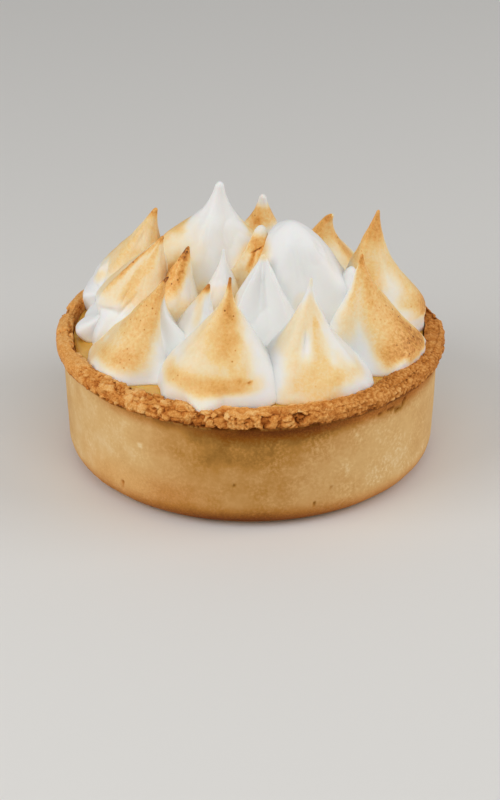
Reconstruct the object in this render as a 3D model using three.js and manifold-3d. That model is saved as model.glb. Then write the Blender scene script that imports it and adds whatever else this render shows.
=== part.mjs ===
// A small individual lemon meringue tart: a deep shortcrust shell with a crumbly
// overhanging rim, filled with lemon curd and topped with piped meringue kisses.
//
// Millimetres, +Z up. The origin is at the centre of the shell's underside, -Y is
// the front and +X is the right-hand side.

import * as THREE from 'three';
import { mergeVertices } from 'three/addons/utils/BufferGeometryUtils.js';
import Module from 'manifold-3d';

const wasm = await Module();
wasm.setup();

// Driving dimensions.

const shellRadius = 45; // outer wall, just above its rounded bottom edge
const shellCornerRadius = 6; // rounded bottom edge
const wallFlare = 1; // how far the wall leans out by the time it meets the rim
const rimRadius = 47.8; // outermost edge of the rim
const rimUnderside = 28; // height where the rim starts to overhang the wall
const shellHeight = 32; // top of the rim
const rimEdgeRound = 0.8; // how far the rim's outer edges are rounded off
const rimTopInset = 2.2; // from the rim's outermost edge to the flat of its top
const rimMouthRadius = 42.6; // inner edge of the rim, mean
const rimMouthRound = 1.2; // how far the rim's inner edge is rounded off
const rimMouthOval = 1; // the mouth is wider left to right than front to back
const rimWaveHeight = 0.35; // slow rise and fall of the rim's top
const floorThickness = 4;
const innerWallRadius = 41; // inside of the wall, just above the inner corner
const innerCornerRadius = 3;

const curdHeight = 30; // level of the lemon curd
const pieceGap = 0.3; // clearance between pieces that touch

const kissFootRound = 3.5; // height over which a kiss's foot swells to full width
const kissFootTuck = 0.1; // share of the radius that the foot is tucked under
const kissTipRadius = 0.45; // blunt end of a pulled peak
const kissTipSharpness = 12; // how close to its end a peak stays blunt
const kissRingEasing = 0.12; // crowds a kiss's rings towards its foot and its tip
const cutDepth = 1.2; // how far below its foot a kiss cuts its neighbours
const mouthSoftness = 0.8; // how softly a kiss flattens against the rim

// The flat part of the inside of the floor.
const floorRadius = innerWallRadius - innerCornerRadius;

const shellSegments = 64;
const kissSegments = 16;
const kissRings = 8;

// One entry for each kiss, in piping order: those piped later give way to those
// piped before. foot is the centre of the foot and footRadius its half-width and
// half-depth. tip is the end of the peak. A low belly gives a straight cone and a
// high one a full dome, a high neck pulls the peak in thin, lean says how late
// the kiss bends towards its tip, and bow pushes its middle sideways.

const kisses = [
  { name: 'kiss_front_centre', foot: [-8.0, -29.0], footRadius: [14.6, 12.6], tip: [-4.7, -32.0, 60.4],
    belly: 1.8, neck: 2.3, lean: 1.4, bow: 0.6 },
  { name: 'kiss_front_left', foot: [-26.6, -14.5], footRadius: [13.2, 14.8], tip: [-19.4, -21.3, 55.5],
    belly: 1.0, neck: 1.5, lean: 1.95, bow: 1.0 },
  { name: 'kiss_front_right', foot: [14.6, -25.5], footRadius: [14.6, 13.6], tip: [14.3, -25.8, 57.3],
    belly: 1.25, neck: 1.75, lean: 0.9, bow: -0.9 },
  { name: 'kiss_right', foot: [29.8, -9.5], footRadius: [14.2, 13.5], tip: [26.6, -12.0, 57.1],
    belly: 1.05, neck: 1.45, lean: 0.85, bow: -0.4 },
  { name: 'kiss_right_back', foot: [33.8, 9.0], footRadius: [12.2, 12.5], tip: [30.7, -2.0, 64.1],
    belly: 1.05, neck: 1.25, lean: 0.75, bow: -2.4 },
  { name: 'kiss_left', foot: [-29.5, 1.0], footRadius: [11.0, 10.5], tip: [-21.0, -4.0, 58.2],
    belly: 2.0, neck: 1.35, lean: 1.15, bow: -1.6 },
  { name: 'kiss_left_back', foot: [-31.4, 17.0], footRadius: [11.2, 12.0], tip: [-23.0, 10.0, 59.3],
    belly: 1.5, neck: 1.4, lean: 1.1, bow: -0.5 },
  { name: 'kiss_back_right', foot: [25.0, 23.0], footRadius: [14.0, 14.0], tip: [20.0, 16.0, 55.0],
    belly: 1.1, neck: 1.35, lean: 1.2, bow: -4.0 },
  { name: 'kiss_back_centre', foot: [2.0, 27.0], footRadius: [14.0, 13.0], tip: [3.0, 22.0, 57.6],
    belly: 1.2, neck: 1.5, lean: 1.3, bow: 0.4 },
  { name: 'kiss_back_left', foot: [-15.0, 28.0], footRadius: [13.0, 12.0], tip: [-9.5, 24.0, 53.5],
    belly: 1.3, neck: 1.4, lean: 1.2, bow: 0 },
  { name: 'kiss_small_left', foot: [-13.0, -13.5], footRadius: [7.5, 7.5], tip: [-9.9, -15.0, 50.6],
    belly: 1.2, neck: 1.1, lean: 1.5, bow: -0.9 },
  { name: 'kiss_inner_left', foot: [-16.5, -4.0], footRadius: [9.0, 9.0], tip: [-14.9, -5.0, 55.9],
    belly: 1.4, neck: 1.2, lean: 1.5, bow: -1.8 },
  { name: 'kiss_white_front', foot: [3.6, -8.0], footRadius: [11.5, 10.5], tip: [3.1, -11.0, 56.6],
    belly: 1.5, neck: 1.25, lean: 1.2, bow: -0.3 },
  { name: 'kiss_white_slender', foot: [-9.8, -4.0], footRadius: [10.3, 9.5], tip: [-6.4, -6.0, 55.7],
    belly: 1.5, neck: 2.0, lean: 1.0, bow: 1.0 },
  { name: 'kiss_white_right', foot: [21.5, -2.5], footRadius: [8.5, 8.5], tip: [24.4, -3.0, 49.6],
    belly: 1.5, neck: 1.1, lean: 1.2, bow: 0.4 },
  { name: 'kiss_dome', foot: [13.6, 1.5], footRadius: [12.8, 12.5], tip: [9.5, -3.5, 61.8],
    belly: 2.3, neck: 0.62, lean: 1.1, bow: -1.2 },
  { name: 'kiss_inner_back', foot: [-3.2, 3.5], footRadius: [12.4, 11.5], tip: [2.6, 0.5, 58.9],
    belly: 1.1, neck: 1.35, lean: 1.1, bow: 1.2 },
  { name: 'kiss_tallest', foot: [-15.0, 11.0], footRadius: [19.5, 16.0], tip: [-7.4, 7.0, 67.6],
    belly: 1.8, neck: 1.85, lean: 1.12, bow: 1.8 },
];

const finishes = {
  shortcrust: { color: 0xe0b677, roughness: 0.8, metalness: 0 },
  lemonCurd: { color: 0xd9b23c, roughness: 0.35, metalness: 0 },
  meringue: { color: 0xf4eee4, roughness: 0.55, metalness: 0 },
};

// How far the inner edge of the rim lies from the axis, at an angle round it.
function mouthRadius(angle) {
  return rimMouthRadius + rimMouthOval * Math.cos(2 * angle);
}

// How much the rim's top stands above its mean height, at an angle round it.
function rimWave(angle) {
  const slow = Math.cos(angle - THREE.MathUtils.degToRad(165));
  return rimWaveHeight * (slow + 0.5 * Math.sin(5 * angle) - 1);
}

// Points of an arc in the profile plane, from one angle to another in degrees.
function arc(centreRadius, centreHeight, radius, from, to, steps) {
  const points = [];
  for (let i = 0; i <= steps; i += 1) {
    const angle = THREE.MathUtils.degToRad(from + ((to - from) * i) / steps);
    const across = centreRadius + radius * Math.cos(angle);
    points.push(new THREE.Vector2(across, centreHeight + radius * Math.sin(angle)));
  }
  return points;
}

// A profile turned about +Z, as an indexed geometry with no seam and no sliver at
// the poles. The profile runs from the axis, outwards, up and back to the axis.
function turned(profile, segments) {
  const lathe = new THREE.LatheGeometry(profile, segments);
  lathe.rotateX(Math.PI / 2);
  lathe.deleteAttribute('normal');
  lathe.deleteAttribute('uv');
  const merged = mergeVertices(lathe, 1e-4);
  const kept = [];
  const index = merged.index.array;
  for (let i = 0; i < index.length; i += 3) {
    const [a, b, c] = index.subarray(i, i + 3);
    if (a !== b && b !== c && c !== a) {
      kept.push(a, b, c);
    }
  }
  merged.setIndex(kept);
  return merged;
}

// Moves every vertex of a geometry by a function that changes a Vector3.
function reshape(geometry, move) {
  const position = geometry.attributes.position;
  const point = new THREE.Vector3();
  for (let i = 0; i < position.count; i += 1) {
    point.fromBufferAttribute(position, i);
    move(point);
    position.setXYZ(i, point.x, point.y, point.z);
  }
  return geometry;
}

function toSolid(geometry) {
  return new wasm.Manifold(new wasm.Mesh({
    numProp: 3,
    vertProperties: new Float32Array(geometry.attributes.position.array),
    triVerts: new Uint32Array(geometry.index.array),
  }));
}

function toGeometry(solid) {
  const mesh = solid.getMesh();
  const geometry = new THREE.BufferGeometry();
  const points = new Float32Array((mesh.vertProperties.length / mesh.numProp) * 3);
  for (let i = 0; i < points.length / 3; i += 1) {
    points.set(mesh.vertProperties.subarray(i * mesh.numProp, i * mesh.numProp + 3), i * 3);
  }
  geometry.setAttribute('position', new THREE.BufferAttribute(points, 3));
  geometry.setIndex(new THREE.BufferAttribute(new Uint32Array(mesh.triVerts), 1));
  return geometry;
}

function addPiece(group, name, geometry, finish) {
  geometry.computeVertexNormals();
  const mesh = new THREE.Mesh(geometry, new THREE.MeshStandardMaterial(finish));
  mesh.name = name;
  group.add(mesh);
}

// The shell: a thick cup with a rounded bottom edge, a slightly flared wall and a
// rim that overhangs outside.
function shellGeometry() {
  const rimMiddle = (rimUnderside + shellHeight) / 2;
  const profile = [
    new THREE.Vector2(0, 0),
    ...arc(shellRadius - shellCornerRadius, shellCornerRadius, shellCornerRadius, -90, 0, 4),
    new THREE.Vector2(shellRadius + wallFlare, rimUnderside - rimEdgeRound / 2),
    new THREE.Vector2(rimRadius - rimEdgeRound / 2, rimUnderside + rimEdgeRound / 2),
    new THREE.Vector2(rimRadius, rimMiddle),
    new THREE.Vector2(rimRadius - rimEdgeRound, shellHeight - rimEdgeRound / 2),
    new THREE.Vector2(rimRadius - rimTopInset, shellHeight),
    new THREE.Vector2(rimMouthRadius + rimMouthRound, shellHeight),
    new THREE.Vector2(rimMouthRadius, shellHeight - rimMouthRound),
    new THREE.Vector2(rimMouthRadius, rimUnderside),
    ...arc(floorRadius, floorThickness + innerCornerRadius, innerCornerRadius, 0, -90, 2),
    new THREE.Vector2(0, floorThickness),
  ];
  const nearMouth = (innerWallRadius + rimMouthRadius) / 2;
  const insideLip = rimMouthRadius + rimMouthRound / 2;
  return reshape(turned(profile, shellSegments), (point) => {
    const across = Math.hypot(point.x, point.y);
    const angle = Math.atan2(point.y, point.x);
    if (across > nearMouth && across < insideLip && point.z > rimMiddle - rimMouthRound * 2) {
      const scale = mouthRadius(angle) / rimMouthRadius;
      point.x *= scale;
      point.y *= scale;
    }
    if (point.z > rimMiddle) {
      point.z += rimWave(angle);
    }
  });
}

// The curd fills the shell up to its level, clear of it by the gap.
function curdGeometry() {
  const bottom = floorThickness + pieceGap;
  const cornerRadius = innerCornerRadius - pieceGap;
  const profile = [
    new THREE.Vector2(0, bottom),
    ...arc(floorRadius, bottom + cornerRadius, cornerRadius, -90, 0, 2),
    new THREE.Vector2(rimMouthRadius - pieceGap, rimUnderside),
    new THREE.Vector2(rimMouthRadius - pieceGap, curdHeight),
    new THREE.Vector2(0, curdHeight),
  ];
  return reshape(turned(profile, shellSegments), (point) => {
    const across = Math.hypot(point.x, point.y);
    if (across > innerWallRadius && point.z >= rimUnderside) {
      const angle = Math.atan2(point.y, point.x);
      const scale = (mouthRadius(angle) - pieceGap) / (rimMouthRadius - pieceGap);
      point.x *= scale;
      point.y *= scale;
    }
  });
}

// Share of the foot's radius at a height, from 0 at the foot to 1 at the tip.
function kissWidth(kiss, share, aboveFoot) {
  const peak = Math.pow(1 - Math.pow(share, kiss.belly), kiss.neck);
  const swell = Math.min(1, aboveFoot / kissFootRound);
  const tuck = 1 - kissFootTuck * (1 - Math.sqrt(1 - (1 - swell) ** 2));
  return peak * tuck;
}

// Presses a point that would pass the rim's mouth back inside it, softly.
function pressAgainstRim(point, grow) {
  const across = Math.hypot(point.x, point.y);
  const limit = mouthRadius(Math.atan2(point.y, point.x)) - pieceGap + grow;
  const room = (limit - across) / mouthSoftness;
  const pressed = limit - mouthSoftness * Math.log1p(Math.exp(room));
  point.x *= pressed / across;
  point.y *= pressed / across;
}

// One kiss, turned as a peak on the axis and then leant, flattened and pressed.
// A positive grow swells it all round and carries its foot down, to cut with.
function kissGeometry(kiss, grow) {
  const footHeight = curdHeight + pieceGap;
  const [tipX, tipY, tipHeight] = kiss.tip;
  const meanRadius = (kiss.footRadius[0] + kiss.footRadius[1]) / 2;
  const height = tipHeight - footHeight;
  const profile = [];
  if (grow > 0) {
    const sole = footHeight - cutDepth;
    profile.push(new THREE.Vector2(0, sole));
    profile.push(new THREE.Vector2(meanRadius * (1 - kissFootTuck) + grow, sole));
  } else {
    profile.push(new THREE.Vector2(0, footHeight));
  }
  for (let i = 0; i < kissRings; i += 1) {
    const step = i / kissRings;
    const share = step - kissRingEasing * Math.sin(2 * Math.PI * step);
    const blunt = kissTipRadius * (1 - share ** kissTipSharpness);
    const width = meanRadius * kissWidth(kiss, share, share * height) + blunt + grow;
    profile.push(new THREE.Vector2(width, footHeight + share * height));
  }
  profile.push(new THREE.Vector2(0, tipHeight + grow));
  return reshape(turned(profile, kissSegments), (point) => {
    const share = THREE.MathUtils.clamp((point.z - footHeight) / height, 0, 1);
    const towardsTip = share ** kiss.lean;
    const sideways = kiss.bow * Math.sin(Math.PI * share);
    point.x = point.x * (kiss.footRadius[0] / meanRadius) + sideways
      + kiss.foot[0] + (tipX - kiss.foot[0]) * towardsTip;
    point.y = point.y * (kiss.footRadius[1] / meanRadius)
      + kiss.foot[1] + (tipY - kiss.foot[1]) * towardsTip;
    pressAgainstRim(point, grow);
  });
}

// The largest separate body of a solid, so that a cut leaves no crumbs behind.
function largestBody(solid) {
  const bodies = solid.decompose();
  return bodies.reduce((best, body) => (body.volume() > best.volume() ? body : best));
}

function addKisses(group) {
  const piped = [];
  for (const kiss of kisses) {
    let solid = toSolid(kissGeometry(kiss, 0));
    for (const earlier of piped) {
      solid = solid.subtract(earlier);
    }
    addPiece(group, kiss.name, toGeometry(largestBody(solid)), finishes.meringue);
    piped.push(toSolid(kissGeometry(kiss, pieceGap)));
  }
}

const group = new THREE.Group();
addPiece(group, 'shell', shellGeometry(), finishes.shortcrust);
addPiece(group, 'lemon_curd', curdGeometry(), finishes.lemonCurd);
addKisses(group);

export default group;
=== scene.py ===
"""A small individual lemon meringue tart, dressed for rendering.

A baked shortcrust shell with a crumbly overhanging rim holds lemon curd, and
eighteen piped and torched meringue kisses stand on the curd.

Sizes are in millimetres until a piece is placed, +Z is up, -Y is the front and
+X is the right. Angles round the tart or round a kiss are in degrees from +X,
so the front is at -90.
"""

import logging
import math
from dataclasses import dataclass, field
from enum import Enum
from typing import ClassVar

import bmesh
import bpy
from mathutils import Matrix, Vector, noise


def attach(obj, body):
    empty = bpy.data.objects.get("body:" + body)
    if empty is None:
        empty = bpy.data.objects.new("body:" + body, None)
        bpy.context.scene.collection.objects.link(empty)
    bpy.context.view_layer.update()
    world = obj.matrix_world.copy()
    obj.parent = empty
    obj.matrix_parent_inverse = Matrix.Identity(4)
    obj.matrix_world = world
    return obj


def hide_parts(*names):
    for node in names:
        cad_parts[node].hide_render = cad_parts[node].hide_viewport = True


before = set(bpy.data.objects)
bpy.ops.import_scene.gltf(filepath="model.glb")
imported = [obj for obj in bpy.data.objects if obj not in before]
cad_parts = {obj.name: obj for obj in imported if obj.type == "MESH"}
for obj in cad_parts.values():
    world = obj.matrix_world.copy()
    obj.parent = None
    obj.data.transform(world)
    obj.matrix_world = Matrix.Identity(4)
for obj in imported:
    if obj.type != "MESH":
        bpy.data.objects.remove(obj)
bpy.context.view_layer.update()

log = logging.getLogger("tart")

MM = 0.001


class Slot(Enum):
    """The record's material slots."""

    SHORTCRUST = "shortcrust"
    CURD = "lemon_curd"
    MERINGUE = "meringue"


def linear(colour: str) -> tuple[float, float, float, float]:
    """Turn an sRGB hex colour into a linear one.

    Args:
        colour: Six hex digits, with or without a leading hash.

    Returns:
        Linear red, green and blue with an alpha of 1.
    """
    digits = colour.lstrip("#")
    channels = []
    for place in (0, 2, 4):
        value = int(digits[place : place + 2], 16) / 255
        channels.append(value / 12.92 if value <= 0.04045 else ((value + 0.055) / 1.055) ** 2.4)
    return (channels[0], channels[1], channels[2], 1.0)


Socket = bpy.types.NodeSocket


def add_node(
    tree: bpy.types.NodeTree,
    kind: str,
    inputs: dict[str | int, object] | None = None,
    **settings: object,
) -> bpy.types.Node:
    """Add a node with its settings and inputs.

    Args:
        tree: Node tree that gets the node.
        kind: Node type without its ShaderNode prefix.
        inputs: Values, and sockets to link from, by input socket name or place.
        settings: Properties of the node itself.

    Returns:
        The new node.
    """
    node = tree.nodes.new(f"ShaderNode{kind}")
    for name, setting in settings.items():
        setattr(node, name, setting)
    for place, given in (inputs or {}).items():
        if isinstance(given, Socket):
            tree.links.new(given, node.inputs[place])
        else:
            node.inputs[place].default_value = given
    return node


@dataclass
class NodeGraph:
    """The nodes of one material, with a short method for each kind that recurs."""

    name: str

    def __post_init__(self) -> None:
        """Start the material with nothing but its object coordinates."""
        self.material = bpy.data.materials.new(self.name)
        self.material.use_nodes = True
        self.tree = self.material.node_tree
        self.tree.nodes.clear()
        self.place = add_node(self.tree, "TexCoord").outputs["Object"]

    def attribute(self, name: str) -> Socket:
        """Read a value that the mesh holds at each vertex."""
        return add_node(self.tree, "Attribute", attribute_name=name).outputs["Fac"]

    def grains(self, size: float, detail: float, roughness: float = 0.5) -> Socket:
        """Cloudy noise from 0 to 1, of a size in millimetres."""
        inputs = {"Vector": self.place, "Scale": 1 / (size * MM), "Detail": detail}
        return add_node(self.tree, "TexNoise", inputs | {"Roughness": roughness}).outputs["Fac"]

    def combine(self, operation: str, *terms: Socket | float) -> Socket:
        """Work out a sum, a difference or a product of sockets and numbers."""
        return add_node(self.tree, "Math", dict(enumerate(terms)), operation=operation).outputs[0]

    def remap(
        self, value: Socket, old: tuple[Socket | float, float], new: tuple[float, float]
    ) -> Socket:
        """Carry a value linearly from an old range to a new one, stopping at its ends."""
        names = ("Value", "From Min", "From Max", "To Min", "To Max")
        return add_node(self.tree, "MapRange", dict(zip(names, (value, *old, *new)))).outputs[0]

    def ramp(self, factor: Socket, *stops: tuple[float, str]) -> Socket:
        """Colour a factor.

        Args:
            factor: What is coloured.
            stops: Places from 0 to 1 with their sRGB hex colours.

        Returns:
            The colour.
        """
        node = add_node(self.tree, "ValToRGB", {"Fac": factor})
        elements = node.color_ramp.elements
        while len(elements) < len(stops):
            elements.new(1.0)
        for element, (place, colour) in zip(elements, stops):
            element.position = place
            element.color = linear(colour)
        return node.outputs["Color"]

    def bump(self, height: Socket, depth: float, strength: Socket | float) -> Socket:
        """Raise the surface by a texture that is some millimetres deep."""
        inputs = {"Height": height, "Distance": depth * MM, "Strength": strength}
        return add_node(self.tree, "Bump", inputs).outputs["Normal"]

    def surface(self, inputs: dict[str, object]) -> bpy.types.Material:
        """End in a principled surface.

        Args:
            inputs: Its values, and sockets to link from, by input socket name.

        Returns:
            The finished material.
        """
        shader = add_node(self.tree, "BsdfPrincipled", inputs)
        add_node(self.tree, "OutputMaterial", {"Surface": shader.outputs["BSDF"]})
        return self.material


def smooth_step(low: float, high: float, value: float) -> float:
    """Rise smoothly from 0 at low to 1 at high, either way round."""
    share = min(1.0, max(0.0, (value - low) / (high - low)))
    return share * share * (3 - 2 * share)


def angle_apart(first: float, second: float) -> float:
    """Signed angle from second to first, in degrees from -180 to 180."""
    return (first - second + 180) % 360 - 180


def sector(degrees: float, middle: float, outer: float, inner: float) -> float:
    """How far an angle is in a sector: 1 within inner of its middle, 0 past outer."""
    return smooth_step(outer, inner, abs(angle_apart(degrees, middle)))


def bell(distance: float, width: float, power: float = 2.0) -> float:
    """Fall smoothly from 1 at no distance to 0 well past a width."""
    return math.exp(-(abs(distance / width) ** power))


def turned(profile: list[tuple[float, float]], segments: int) -> bmesh.types.BMesh:
    """Turn a profile about +Z into a closed surface.

    Args:
        profile: Radius and height of each point, from the axis and back to it.
        segments: Steps round the axis.

    Returns:
        The surface, with its poles and seam merged and its faces pointing out.
    """
    mesh = bmesh.new()
    points = [mesh.verts.new((across, 0, height)) for across, height in profile]
    edges = [mesh.edges.new(pair) for pair in zip(points, points[1:])]
    bmesh.ops.spin(
        mesh,
        geom=points + edges,
        cent=(0, 0, 0),
        axis=(0, 0, 1),
        dvec=(0, 0, 0),
        angle=math.tau,
        steps=segments,
        use_merge=True,
        use_duplicate=False,
    )
    bmesh.ops.remove_doubles(mesh, verts=mesh.verts, dist=1e-4)
    bmesh.ops.recalc_face_normals(mesh, faces=mesh.faces)
    return mesh


def place_piece(
    mesh: bmesh.types.BMesh,
    name: str,
    node: str,
    material: bpy.types.Material,
) -> None:
    """Turn a finished mesh into a piece that stands for a CAD node.

    Args:
        mesh: The mesh, in millimetres. It is freed.
        name: Name of the new piece.
        node: CAD node that the piece stands for.
        material: The finish.
    """
    bmesh.ops.transform(mesh, matrix=Matrix.Scale(MM, 4), verts=mesh.verts)
    data = bpy.data.meshes.new(name)
    mesh.to_mesh(data)
    mesh.free()
    data.shade_smooth()
    data.materials.append(material)
    piece = bpy.data.objects.new(name, data)
    bpy.context.scene.collection.objects.link(piece)
    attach(piece, "root")
    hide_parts(node)
    log.info("%s: %d faces", name, len(data.polygons))


@dataclass(frozen=True)
class ToastedMeringue:
    """Italian meringue, piped and browned with a torch.

    Cooked egg-white foam is matt white with a faint sheen and lets a little light
    in. The torch turns its skin cream, gold and brown, and leaves it finely
    pitted where it is darkest. Burnt pits lie in clusters.
    """

    white: str = "f3f3f1"
    grain_mm: float = 0.8
    grain_depth_mm: float = 0.15
    pit_mm: float = 1.3
    cluster_mm: float = 8.0

    def material(self) -> bpy.types.Material:
        """Build the finish, which reads the toast and grit attributes of each kiss. The toast holds some
        painted shade as well as real browning.

        Returns:
            The material.
        """
        graph = NodeGraph("toasted_meringue")
        toast_and_shade = graph.attribute("toast_and_shade")
        grit = graph.attribute("grit")
        grain = graph.grains(self.grain_mm, 4.0, 0.65)
        centred = graph.combine("SUBTRACT", grain, 0.5)
        rough = graph.combine("MULTIPLY_ADD", grit, 1.3, 0.5)
        uneven = graph.combine("MULTIPLY", centred, graph.combine("MULTIPLY", toast_and_shade, rough))
        browned = graph.combine("ADD", toast_and_shade, uneven)
        colour = graph.ramp(
            graph.combine("ADD", browned, self.pits(graph, toast_and_shade, centred)),
            (0.0, self.white), (0.2, "fae9c6"), (0.4, "f8d28f"), (0.58, "f0b665"),
            (0.74, "da9340"), (0.88, "b26d29"), (1.0, "633716"),
        )
        blistered = graph.combine("MULTIPLY_ADD", grit, 0.5, 0.2)
        return graph.surface({
            "Base Color": colour,
            "Roughness": 0.5,
            "IOR": 1.4,
            "Subsurface Weight": 0.12,
            "Subsurface Scale": 0.002,
            "Normal": graph.bump(grain, self.grain_depth_mm, blistered),
        })

    def pits(self, graph: NodeGraph, toast_and_shade: Socket, centred: Socket) -> Socket:
        """Scatter burnt pits over the browned skin.

        Args:
            graph: The material's nodes.
            toast_and_shade: How brown the skin is, with some painted shade.
            centred: Noise about 0 that makes the pits ragged.

        Returns:
            How much darker the pits are, and 0 between them.
        """
        inputs = {"Vector": graph.place, "Scale": 1 / (self.pit_mm * MM)}
        cells = add_node(graph.tree, "TexVoronoi", inputs)
        ragged = graph.combine("MULTIPLY_ADD", centred, 0.35, cells.outputs["Distance"])
        spot = graph.remap(ragged, (0.08, 0.24), (1.0, 0.0))
        rarity = graph.remap(graph.grains(self.cluster_mm, 1.0), (0.4, 0.6), (0.75, 0.2))
        chosen = graph.remap(cells.outputs["Color"], (rarity, 0.95), (0.0, 1.0))
        scorched = graph.remap(toast_and_shade, (0.3, 0.55), (0.0, 0.65))
        return graph.combine("MULTIPLY", graph.combine("MULTIPLY", spot, chosen), scorched)


@dataclass(frozen=True)
class Shortcrust:
    """Blind-baked sweet shortcrust pastry.

    Butter pastry pressed into a steel ring bakes pale gold, smooth and faintly
    flecked where it met the metal. The rim above the ring bakes darker and breaks
    into grains, with darker hollows between them: partly real browning, partly
    painted shade. Its colour also holds painted shade below the rim and at the foot.
    """

    mottle_mm: float = 4.5
    fleck_mm: float = 0.8
    sand_mm: float = 0.42
    sand_depth_mm: float = 0.15

    def material(self) -> bpy.types.Material:
        """Build the finish, which reads the shell's rim, bake and flecked attributes. The bake attribute
        holds painted shade as well as real browning.

        Returns:
            The material.
        """
        graph = NodeGraph("baked_shortcrust")
        bake = graph.attribute("bake")
        sand = graph.grains(self.sand_mm, 3.0, 0.7)
        mottled = graph.remap(graph.grains(self.mottle_mm, 4.0, 0.55), (0.3, 0.7), (0.07, -0.07))
        paler = graph.remap(graph.grains(self.fleck_mm, 2.0, 0.6), (0.42, 0.72), (0.05, -0.22))
        flecks = graph.combine("MULTIPLY", paler, graph.attribute("flecked"))
        wall = graph.ramp(
            graph.combine("ADD", bake, graph.combine("ADD", mottled, flecks)),
            (0.0, "efd3a2"), (0.2, "e2b87a"), (0.4, "d5a364"), (0.6, "bf8840"),
            (0.75, "a0702f"), (0.87, "935913"), (1.0, "7a3f05"),
        )
        crumb = graph.ramp(
            graph.combine("ADD", bake, graph.remap(sand, (0.3, 0.7), (0.18, -0.18))),
            (0.0, "f6c581"), (0.25, "e8a456"), (0.5, "cb7c32"), (0.75, "a65d20"), (1.0, "723a10"),
        )
        blend = {"Factor": graph.attribute("rim"), 6: wall, 7: crumb}
        return graph.surface({
            "Base Color": add_node(graph.tree, "Mix", blend, data_type="RGBA").outputs[2],
            "Roughness": 0.6,
            "IOR": 1.45,
            "Specular IOR Level": 0.12,
            "Normal": graph.bump(sand, self.sand_depth_mm, 0.3),
        })


@dataclass(frozen=True)
class LemonCurd:
    """Lemon curd, poured and set: a smooth, glossy, slightly clear amber yellow."""

    colour: str = "eeb955"
    cloud_mm: float = 3.0

    def material(self) -> bpy.types.Material:
        """Build the finish.

        Returns:
            The material.
        """
        graph = NodeGraph("set_lemon_curd")
        cloud = graph.grains(self.cloud_mm, 3.0)
        return graph.surface({
            "Base Color": graph.ramp(cloud, (0.3, "dfa645"), (0.6, self.colour), (0.8, "f4cd78")),
            "Roughness": 0.22,
            "IOR": 1.42,
            "Subsurface Weight": 0.2,
            "Subsurface Scale": 0.002,
        })


@dataclass(frozen=True)
class Weathering:
    """What baking did to one point of the shell, and the painted shade that its colour carries.

    Attributes:
        place: Where the point ends up.
        rim: 1 on the crumbly rim, less where the wall is warmer orange near the foot and under the rim,
            partly real browning and partly painted orange bounce light, else 0.
        bake: How dark it is, from 0 for pale to 1 for dark: real browning, with painted shade below the
            rim, at the foot, across the front and in the rim's hollows.
        flecked: How strongly pale flecks show, from 0 to 1.
    """

    place: Vector
    rim: float
    bake: float
    flecked: float = 0.0


@dataclass(frozen=True)
class Blemish:
    """A pit, a flake or a dent in the shell.

    Attributes:
        around: Direction round the tart, in degrees.
        height: Height above the floor, in millimetres.
        wide: Half-width in millimetres.
        high: Half-height in millimetres.
        depth: How far it goes in, in millimetres.
        brown: How much browner it is, or paler when negative.
    """

    around: float
    height: float
    wide: float
    high: float
    depth: float
    brown: float

    def cover(self, degrees: float, point: Vector) -> float:
        """Work out how much of it covers a point of the shell.

        Args:
            degrees: Angle round the tart.
            point: The point.

        Returns:
            Cover from 0 to 1, with a ragged edge.
        """
        apart = math.radians(angle_apart(degrees, self.around)) * math.hypot(point.x, point.y)
        reach = (apart / self.wide) ** 2 + ((point.z - self.height) / self.high) ** 2
        ragged = 1 + 0.8 * noise.noise(point / 0.7)
        share = bell(reach * ragged, 1.0)
        return share if share > 0.01 else 0.0


@dataclass(frozen=True)
class Bend:
    """A stretch where the shell's mouth is wider or narrower than elsewhere.

    Attributes:
        around: Its middle round the tart, in degrees.
        width: Half-width in degrees.
        out: How far the mouth moves out, in millimetres, or in when negative.
        flat: 2 for a soft bend and 4 for a flat one with steep ends.
    """

    around: float
    width: float
    out: float
    flat: float = 2.0


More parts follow.
